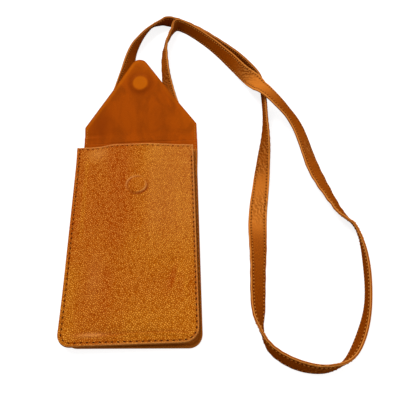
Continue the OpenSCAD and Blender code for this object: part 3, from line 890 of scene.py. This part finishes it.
suede = brushed_suede("suede", tone(143, 56, 0), tone(170, 69, 0), tone(208, 105, 4),
                      patch=13 * mm)
suede_edge = 0.08 * mm
x, along = back_grid()
back_suede = closed_skin("back_suede", skin_place(x, along, skin_t / 2),
                         skin_place(x, along, leather_high), flat_back,
                         round_off=suede_edge, meets=-1)
x, along = flap_grid()
lift = disc_bump(x, along)
flap_suede = closed_skin("flap_suede", skin_place(x, along, skin_t / 2 + lift),
                         skin_place(x, along, leather_high + lift), flat_flap,
                         disc_marks(x, along), round_off=suede_edge, meets=0)
bend_at_first(dress(back_suede, suede))
bend_at_second(dress(flap_suede, suede))
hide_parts("back_lining", "fold_lining")
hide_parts("flap_lining", "fold_lining")


# ------------------------------
# Gusset. One strip of darker leather, 1 mm thick, that runs round both sides and the
# closed end. Its two flanges are sewn to the panels' rims, outwards, and its wall bows
# into the pouch, with small pleats round the corners.
gusset_t = 1 * mm
rim_w = 6 * mm
rim_h_end, rim_h_mouth = 10 * mm, 12.6 * mm
lean_end, lean_mouth = 2.8 * mm, 3.8 * mm
layer_gap = 0.05 * mm
gusset_bow = 1.5 * mm


def up_share(y):
    """Share of the way from the closed end to the mouth."""
    return (y - end_y) / (mouth_y - end_y)


def lean(y):
    """How far the front lies to the left of the back."""
    return lean_end + (lean_mouth - lean_end) * up_share(y)


def rim_height(y):
    """Height of the front's rim over the floor."""
    return rim_h_end + (rim_h_mouth - rim_h_end) * up_share(y)


def front_askew(x, y):
    """How the soft front lies off its square place, in x and y: its right lower corner is
    drawn in by up to 0.6 mm, its left one stands out by 0.4 mm, the left side above that
    bulges by 0.5 mm, and the left corner of the mouth is pulled out and up by 1 mm."""
    right = 0.45 * mm * hump(np.hypot(x - side_x, y - end_y), 4.35 * mm, 7 * mm)
    left = 0.29 * mm * hump(np.hypot(x + side_x, y - end_y), 4.35 * mm, 5 * mm)
    bulge = 0.5 * mm * ease((-x - 20 * mm) / (30 * mm)) * hump(y, end_y + 5 * mm, 25 * mm)
    pulled = hump(np.hypot(x + side_x, y - mouth_y), 0, 12 * mm)
    return (-right - left - bulge - 0.6 * mm * pulled,
            right - left + 0.8 * mm * pulled)


def edge_stops():
    """Places along the sewn edge from the mouth on the left, round the closed end, to the
    mouth on the right: the centre that each looks out from, its direction out, and the
    run along the edge."""
    side_y = np.arange(mouth_y, end_y + corner_r, -1.5 * mm)
    turn = np.radians(np.arange(180, 271, 5))
    flat_x = np.arange(corner_r - side_x, side_x - corner_r, 1.6 * mm)[1:]
    left = np.stack([0 * side_y + corner_r - side_x, side_y, 0 * side_y + math.pi], 1)
    corner = np.stack([0 * turn + corner_r - side_x, 0 * turn + end_y + corner_r, turn], 1)
    bottom = np.stack([flat_x, 0 * flat_x + end_y + corner_r,
                       0 * flat_x + 1.5 * math.pi], 1)
    half = np.vstack([left, corner])
    other = half[::-1] * (-1, 1, -1) + (0, 0, 3 * math.pi)
    rows = np.vstack([half, bottom, other])
    centre, out = rows[:, :2], np.stack([np.cos(rows[:, 2]), np.sin(rows[:, 2])], 1)
    edge = centre + out * corner_r
    run = np.append(0, np.cumsum(np.linalg.norm(np.diff(edge, axis=0), axis=1)))
    return centre, out, run


def gusset_faces():
    """The gusset's inner and outer faces as grids, from its lower flange to its upper one.
    The section's line is in from the edge along the lower flange, up the wall, which bows
    in by 4 s (1 - s) of the bow at share s of its height, and out along the upper flange.
    The bow swells and shrinks along the run, most in the close pleats at the corners, and
    two bells round off the bends between wall and flanges. Each face lies half the
    thickness to one side of the line."""
    centre, out, run = edge_stops()
    flange = np.array([0, 0.8, 1.8, 3, 4.2, 5.2]) * mm
    wall = np.linspace(0, 1, 13)
    bend = 1.1 * mm
    inset = np.concatenate([flange, 0 * wall + rim_w + gusset_t / 2, flange[::-1]])
    rise = np.concatenate([0 * flange, wall, 0 * flange + 1])
    bowed = 4 * rise * (1 - rise)
    y = centre[:, 1]
    back_z = ramp_h * ease((y - ramp_from) / ramp_run)
    low = back_z + skin_t + layer_gap + gusset_t / 2
    high = rim_height(y) - skin_t - layer_gap - gusset_t / 2
    corner = hump(np.abs(centre[:, 0]), side_x - corner_r, 2 * mm) * (out[:, 1] < -0.02)
    ripple = (1 + 0.25 * np.sin(run / (9 * mm)) * np.sin(run / (31 * mm))
              + 0.35 * corner * np.sin(run / (0.75 * mm)))
    bow = gusset_bow * ripple[:, None] * bowed[None]
    round_off = bend * (hump(rise, 0, 0.16) + hump(rise, 1, 0.16)) * (inset > rim_w)
    far = inset[None] + bow - round_off[None]
    place = centre[:, None] + out[:, None] * (corner_r - far)[..., None]
    in_x, in_y = back_askew(place[..., 0], place[..., 1])
    off_x, off_y = front_askew(place[..., 0], place[..., 1])
    x = (place[..., 0] + (off_x - lean(place[..., 1])) * rise[None]
         + in_x * (1 - rise[None]))
    y = place[..., 1] + off_y * rise[None] + in_y * (1 - rise[None])
    line = np.stack([x, y, low[:, None] + (high - low)[:, None] * rise[None]], -1)
    square = outward(line) * gusset_t / 2 * 0.96
    section = np.append(0, np.cumsum(np.hypot(np.diff(inset), np.diff(rise) * 6 * mm)))
    flat = np.stack(np.broadcast_arrays(section[None], run[:, None]), -1)
    seam = hump(inset, seam_in(place[..., 0]), 0.9 * mm) * (inset < rim_w)
    return line + square, line - square, flat, seam


gusset_leather = grained_leather(
    "gusset_leather", tone(166, 82, 8), tone(222, 122, 38), tone(206, 120, 40),
    tone(110, 50, 4), tone(176, 104, 36), cell=1.3 * mm, depth=0.08 * mm, spread=30 * mm,
    dark=0.4, fresh=0.12)
inner_face, outer_face, flat, seam = gusset_faces()
# Painted light: the gusset's right side, which lies in the shade of the front's rim, is made
# paler, most towards the mouth, through the mark for wear and painted light.
lit = ease(inner_face[..., 0] / (30 * mm)) * (
    0.35 + 0.65 * ease(inner_face[..., 1] / (50 * mm)))
gusset = closed_skin("gusset_strip", inner_face, outer_face, flat,
                     {"seam": seam, "wear_and_painted_light": lit})
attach(dress(gusset, gusset_leather), "pouch")
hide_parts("gusset")


# ------------------------------
# Front panel. Grained tan leather over a suede lining. Its flat rim is sewn to the gusset,
# and inside the rim it rises in a soft crown that a carried phone has shaped: a fold along
# the closed end, a hollow near the right side and a ring pressed round the magnet.
crown_h = 4.5 * mm
crown_run = 32 * mm
crown_end_run = 18 * mm
lining_t = 0.6 * mm
mouth_seam_in = 2 * mm
ring_low, ring_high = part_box("front_magnet")
ring_x, ring_y = ((ring_low + ring_high) / 2)[:2]
ring_r = 8.6 * mm


def crown(x, y):
    """Rise of the front over its rim: the crown's height, which grows from half at the
    closed end, times a soft step from the sides and 1 - (1 - t) to the power 2.4 from the
    closed end."""
    rise_side = ease((side_x - rim_w - gusset_t - np.abs(x)) / crown_run)
    from_end = y - end_y - rim_w - gusset_t
    rise_end = 1 - (1 - np.clip(from_end / crown_end_run, 0, 1)) ** 2.4
    return crown_h * (0.5 + 0.5 * up_share(y)) * rise_side * rise_end


def from_ring(x, y):
    """How far a place on the front is from the ring's middle, and in which direction."""
    right, up = x - lean(y) - ring_x, y - ring_y
    return np.hypot(right, up), np.arctan2(up, right)


def fold_y(x):
    """y of the fold along the closed end: 7.9 mm from that end, and a little less left of
    the middle and near the right side."""
    return (end_y + 7.9 * mm - 1.1 * mm * hump(x, -13 * mm, 9 * mm)
            - 1.2 * mm * hump(x, 45 * mm, 8 * mm))


def front_height(x, y):
    """Height of the front's outer face. On the rim and the crown lie a rounded cut edge,
    the seam groove, a low fold up each side, the fold along the closed end and a short
    groove above its right end, the pressed ring with its raised disc, the hollow, slow
    waves, the slack of the mouth and the groove of its seam."""
    inside = rim_distance(x, y)
    height = rim_height(y) + crown(x, y)
    height -= 0.3 * mm * (1 - np.clip(inside / (0.9 * mm), 0, 1)) ** 2
    height -= 0.34 * mm * hump(inside, seam_in(x), 0.75 * mm)
    side_fold = hump(np.abs(x), 43 * mm, 1.5 * mm) * ease((y - end_y) / (40 * mm))
    height += 0.32 * mm * side_fold * (0.6 + 0.4 * np.sin(y / (13 * mm) + 1.5 * np.sign(x)))
    fold = ease((x + 44 * mm) / (10 * mm)) * ease((48 * mm - x) / (5 * mm))
    height += 0.7 * mm * hump(y, fold_y(x) - 0.9 * mm, 1.3 * mm) * fold
    height -= 0.4 * mm * hump(y, fold_y(x) + 0.9 * mm, 0.9 * mm) * fold
    height -= 0.35 * mm * hump(x, 47 * mm, 1 * mm) * hump(y, end_y + 15 * mm, 6 * mm)
    away, _ = from_ring(x, y)
    height -= 0.55 * mm * hump(away, ring_r, 0.6 * mm)
    height += 0.45 * mm * ease((ring_r - 0.2 * mm - away) / (1.1 * mm))
    height -= 0.9 * mm * hump(x, 31 * mm, 5 * mm) * hump(y, -36 * mm, 15 * mm)
    calm = ease((inside - 8 * mm) / (10 * mm)) * ease((mouth_y - y) / (25 * mm))
    bent = x / (6.5 * mm) + 0.8 * np.sin(y / (40 * mm))
    waves = (0.3 * np.sin(bent) * np.sin(y / (47 * mm) + 2.2)
             + 0.22 * np.sin(x / (11 * mm) + y / (23 * mm))) * mm
    height += calm * waves
    slack = (0.55 * hump(x, -30 * mm, 5 * mm) + 0.55 * hump(x, 0, 17 * mm)
             + 0.9 * hump(x, 21 * mm, 9 * mm) + 0.5 * ease((x - 44 * mm) / (8 * mm))) * mm
    height -= slack * ease((y - mouth_y + 45 * mm) / (45 * mm))
    height -= 0.22 * mm * hump(mouth_y - y, mouth_seam_in, 0.7 * mm)
    return height


def front_place(x, y):
    """Places on the front's outer face, leaning to the left."""
    off_x, off_y = front_askew(x, y)
    return np.stack([x + off_x - lean(y), y + off_y, front_height(x, y)], -1)


def front_wear_and_painted_light(x, y):
    """Where the front is made paler, from 0 to 1, as a sum of soft steps and bells, part
    wear and part painted light: most over the right half, which is painted light, along
    the lower left side and the closed end and at the mouth, whose left corner patch is
    painted sheen, least in a streak left of the middle. The hollow is darkened with
    painted shade and has a pale line beside it, and pale lines of painted highlight run
    on the folds beside the seams."""
    x, y = x / mm, y / mm
    right = ease((x + 14) / 34)
    hollow_x = 32.2 + 0.26 * (y + 40)
    wear_and_painted_light = (0.1 + 0.6 * right * (1 - 0.5 * hump(y, -46, 13))
            + 0.25 * (1 - right) * ease((15 - y) / 25)
            + 0.5 * hump(x, -35, 9) * hump(y, 84, 14)
            + 0.35 * hump(x, 18, 9) * ease((y - 60) / 20)
            + 0.6 * hump(x, -47, 7) * ease((-18 - y) / 16)
            - 0.3 * hump(x, -13, 6) * ease((y + 20) / 20)
            - 0.3 * hump(x, -17, 5) * ease((-28 - y) / 10) * ease((y + 75) / 12)
            + 0.35 * ease((-64 - y) / 10) * ease((x + 20) / 30)
            - 0.8 * hump(x, hollow_x, 2.4) * hump(y, -40, 9)
            + 0.4 * hump(x, hollow_x + 4, 1.5) * hump(y, -38, 14)
            + 0.12 * hump(x, -4, 16) * ease((-42 - y) / 16)
            - 0.16 * ease((x - 12) / 20) * ease((y + 5) / 30)
            + 0.3 * hump(x, 40, 8) * hump(y, 28, 20)
            + 0.5 * hump(x, -42, 1.8) * ease((y + 5) / 15) * ease((82 - y) / 10)
            + 0.4 * hump(x, 43, 1.6) * hump(y, -46, 14))
    return np.clip(wear_and_painted_light, 0, 1)


def front_painted_sheen(x, y):
    """Painted sheen and highlights on the front, from 0 to 1: bells on the outermost rim at
    the right and the closed end, on the left of the closed end's fold, near the mouth's
    left corner, low on the left side, outside the ring's upper left and inside its lower
    right, and a soft step over the upper right."""
    away, way = from_ring(x, y)
    ring = (hump(away, ring_r + 0.8 * mm, 0.6 * mm) * np.maximum(np.cos(way - 2.4), 0) ** 2
            + hump(away, ring_r - 1 * mm, 0.6 * mm) * np.maximum(np.cos(way + 0.5), 0) ** 2)
    rim = hump(rim_distance(x, y), 0.5 * mm, 0.8 * mm) * ease((x / mm + 45) / 40)
    fold = hump(x, -27 * mm, 9 * mm) * hump(y, -83.2 * mm, 1.6 * mm)
    painted_sheen_patches = (0.17 * ease((x / mm - 6) / 12) * ease((y / mm + 30) / 55)
              + 0.35 * hump(x, -33 * mm, 8 * mm) * hump(y, 83 * mm, 7 * mm)
              + 0.14 * hump(x, -28 * mm, 6 * mm) * hump(y, -38 * mm, 20 * mm))
    return np.clip(1.1 * ring + 0.55 * rim + 0.8 * fold + painted_sheen_patches, 0, 1)


def ring_shade(x, y):
    """Where the ring is in shade, as a share: a broad bell outside its lower right and a
    thin one inside its upper left."""
    away, way = from_ring(x, y)
    return (2.3 * hump(away, ring_r + 0.5 * mm, 0.9 * mm) * np.maximum(np.cos(way + 1), 0)
            + 1.2 * hump(away, ring_r - 0.4 * mm, 0.5 * mm) * np.maximum(np.cos(way - 2.5), 0))


x, y = panel_grid(mouth_y, close=(ring_x + lean(ring_y), ring_y, 11 * mm))
outer = front_place(x, y)
square = outward(outer)
flat = np.stack([x, y], -1)
# The mark seam carries the sewn lines and painted shade: a dark line along the closed end's fold
# and the shade round the pressed ring.
painted_fold_shade = (0.8 * hump(y, fold_y(x) + 0.8 * mm, 0.8 * mm) * ease((x + 25 * mm) / (20 * mm))
           * ease((48 * mm - x) / (5 * mm)))
seam_and_painted_shade = np.max([seam_line(x, y) * ((x < 0) | (y < mouth_y - 10 * mm)), painted_fold_shade,
               hump(mouth_y - y, mouth_seam_in, 0.8 * mm), ring_shade(x, y)], axis=0)
front_leather = closed_skin(
    "front_leather", outer, outer - square * leather_t, flat,
    {"seam": seam_and_painted_shade, "wear_and_painted_light": front_wear_and_painted_light(x, y), "sheen": front_painted_sheen(x, y)})
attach(dress(front_leather, tan_leather), "pouch")
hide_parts("front_panel")

magnet_r, magnet_gap = 7.2 * mm, 1.3 * mm
from_magnet = np.hypot(outer[..., 0] - ring_x, y - ring_y)
pocket = magnet_gap * ease((magnet_r + 1.6 * mm - from_magnet) / (1.5 * mm))
lining_top = outer - square * (leather_t + layer_gap + pocket)[..., None]
front_suede = closed_skin("front_suede", lining_top, lining_top - square * lining_t, flat,
                          round_off=suede_edge)
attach(dress(front_suede, suede), "pouch")
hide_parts("front_lining")


# ------------------------------
# Magnets. Two thin nickel-plated discs, one between the layers of the front and one under
# the flap's suede. The CAD discs stay, with a brushed plating.


def nickel_plate():
    """Brushed nickel: fine scratches, long in one way, on the tone, gloss and bump."""
    made, tree, shader = new_material("nickel_plate")
    drawn = mapped(tree, node(tree, "TexCoord").outputs["Object"],
                   stretch=(300.0, 4000.0, 300.0))
    scratch = noise(tree, drawn, 1.0, 3.0)[0]
    plug(tree, shader, {
        "Base Color": coats(tree, tone(150, 150, 152), (scratch, tone(205, 204, 200))),
        "Roughness": shift(tree, scratch, 0.25, 0.45), "Metallic": 1.0,
        "Normal": bumps(tree, scratch, 0.3, 0.02 * mm)})
    return made


plating = nickel_plate()
for disc in ("front_magnet", "flap_magnet"):
    frame["nodes"][disc].data.materials.clear()
    frame["nodes"][disc].data.materials.append(plating)


# ------------------------------
# Thread of the pouch. Waxed dark thread round the rim, through both panels and the
# gusset's flanges, and along the mouth. Pale thread along the straight sides of the flap.


def seam_places():
    """x and y, at the seam's pitch, along the seam in from the sewn outline."""
    centre, out, run = edge_stops()
    line = centre + out * (corner_r - seam_in(centre[:, :1] + out[:, :1] * corner_r))
    run = np.append(0, np.cumsum(np.linalg.norm(np.diff(line, axis=0), axis=1)))
    along = np.arange(2.2 * mm, run[-1] - 2 * mm, seam_pitch)
    return np.interp(along, run, line[:, 0]), np.interp(along, run, line[:, 1])


def on_surface(place, x, y):
    """Places on a surface given as a function of x and y, the way ahead from each stitch
    to the next, and the direction square to the surface, from small steps along x and y."""
    step = 0.3 * mm
    at = place(x, y)
    square = np.cross(place(x + step, y) - place(x - step, y),
                      place(x, y + step) - place(x, y - step))
    return at, np.gradient(at, axis=0), unit(square)


front_stitch, rim_stitch = (2.5 * mm, 0.95 * mm), (2.5 * mm, 0.8 * mm)
flange_top = skin_t / 2 + layer_gap + gusset_t


def under_back(x, y):
    """Places on the back panel's outer face, in its seam groove."""
    along = y - fold_at.y
    return skin_place(x, along, leather_low + back_hollow(x, along))


def on_flange(x, y):
    """Places on the gusset's lower flange."""
    return skin_place(x, y - fold_at.y, flange_top)


x, y = seam_places()
kept = (x < 0) | (y < mouth_y - 11 * mm)
seen = (x > 0) & (y > -40 * mm)
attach(stitches("front_rim_thread", dark_thread, front_stitch,
                 *on_surface(front_place, x[kept], y[kept])), "pouch")
at, ahead, square = on_surface(under_back, x, y)
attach(stitches("back_rim_thread", dark_thread, rim_stitch, at, ahead, -square), "pouch")
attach(stitches("flange_thread", pale_thread, rim_stitch,
                 *on_surface(on_flange, x[seen], y[seen])), "pouch")
x = np.arange(5 * mm - side_x, side_x - 4 * mm, seam_pitch)
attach(stitches("mouth_thread", dark_thread, rim_stitch,
                 *on_surface(front_place, x, 0 * x + mouth_y - mouth_seam_in)), "pouch")


def flap_seam(name, along, height, face):
    """Stitches up both straight sides of the wrap or the flap, 2 mm in, on its suede
    (face 1) or its leather (face -1), at that height over the sheet's middle."""
    rows = [on_surface(lambda x, a: skin_place(x, a, height),
                       np.full(len(along), side * (side_x - 2 * mm)), along)
            for side in (-1, 1)]
    at, ahead, square = np.concatenate(rows, 1)
    return stitches(name, pale_thread, fine_stitch, at, ahead, face * square)


wrap_run = np.arange(0.5 * mm, fold_len / 2 - 1 * mm, 2.6 * mm)
flap_run = np.arange(fold_len / 2 + 1 * mm, shoulder_at - 1 * mm, 2.6 * mm)
for face, height, side_name in ((1, skin_t / 2, "suede"), (-1, leather_low, "grain")):
    bend_at_first(flap_seam("wrap_thread_" + side_name, wrap_run, height, face))
    bend_at_second(flap_seam("flap_thread_" + side_name, flap_run, height, face))


# ------------------------------
# Floor and light. A plain white floor that shows white to the camera and keeps a faint
# shadow, a pale world, a large soft lamp behind the upper left and a weak one in front.
floor_glow = 0.85
floor_r, floor_sides = 3.0, 64
sky_light = 0.32


def seen_directly(tree):
    """1 for what the camera and reflections see, and 0 for the light on the object."""
    rays = node(tree, "LightPath").outputs
    seen = reckon(tree, "MAXIMUM", rays["Is Camera Ray"], rays["Is Glossy Ray"])
    return reckon(tree, "MAXIMUM", seen, rays["Is Transmission Ray"])


def white_floor():
    """White card: a matt white plus a glow that only the camera and reflections see."""
    made, tree, shader = new_material("white_floor")
    speck = node(tree, "TexNoise", {"Scale": 60.0}).outputs[0]
    plug(tree, shader, {
        "Base Color": coats(tree, tone(160, 160, 160), (speck, tone(168, 168, 168))),
        "Roughness": 0.9, "Emission Color": (1, 1, 1, 1),
        "Emission Strength": times(tree, seen_directly(tree), floor_glow)})
    return made


def soft_lamp(name, place, aim, size, power):
    """A square area lamp that looks at a point."""
    lamp = bpy.data.lights.new(name, "AREA")
    lamp.shape, lamp.size, lamp.energy = "SQUARE", size, power
    made = bpy.data.objects.new(name, lamp)
    made.location = place
    made.rotation_euler = (Vector(aim) - Vector(place)).to_track_quat("-Z", "Y").to_euler()
    bpy.context.scene.collection.objects.link(made)


turn = np.arange(floor_sides) * 2 * np.pi / floor_sides
rim = np.stack([np.cos(turn) * floor_r, np.sin(turn) * floor_r, 0 * turn - 0.1 * mm], 1)
floor_mesh = bpy.data.meshes.new("floor")
floor_mesh.from_pydata(rim.tolist(), [], [list(range(floor_sides))])
floor = bpy.data.objects.new("floor", floor_mesh)
bpy.context.scene.collection.objects.link(floor)
dress(floor, white_floor())

world = bpy.data.worlds.new("pale_room")
bpy.context.scene.world = world
world.use_nodes = True
sky = world.node_tree
plug(sky, sky.nodes["Background"], {
    "Color": (1, 1, 1, 1), "Strength": shift(sky, seen_directly(sky), sky_light, 1.0)})
soft_lamp("key_lamp", (-0.63, 0.8, 1.73), (0.03, 0.05, 0), 1.0, 27.0)
soft_lamp("fill_lamp", (0.75, -0.1, 0.5), (0.05, 0.05, 0), 0.6, 2.0)
bpy.context.scene.view_settings.view_transform = "Standard"
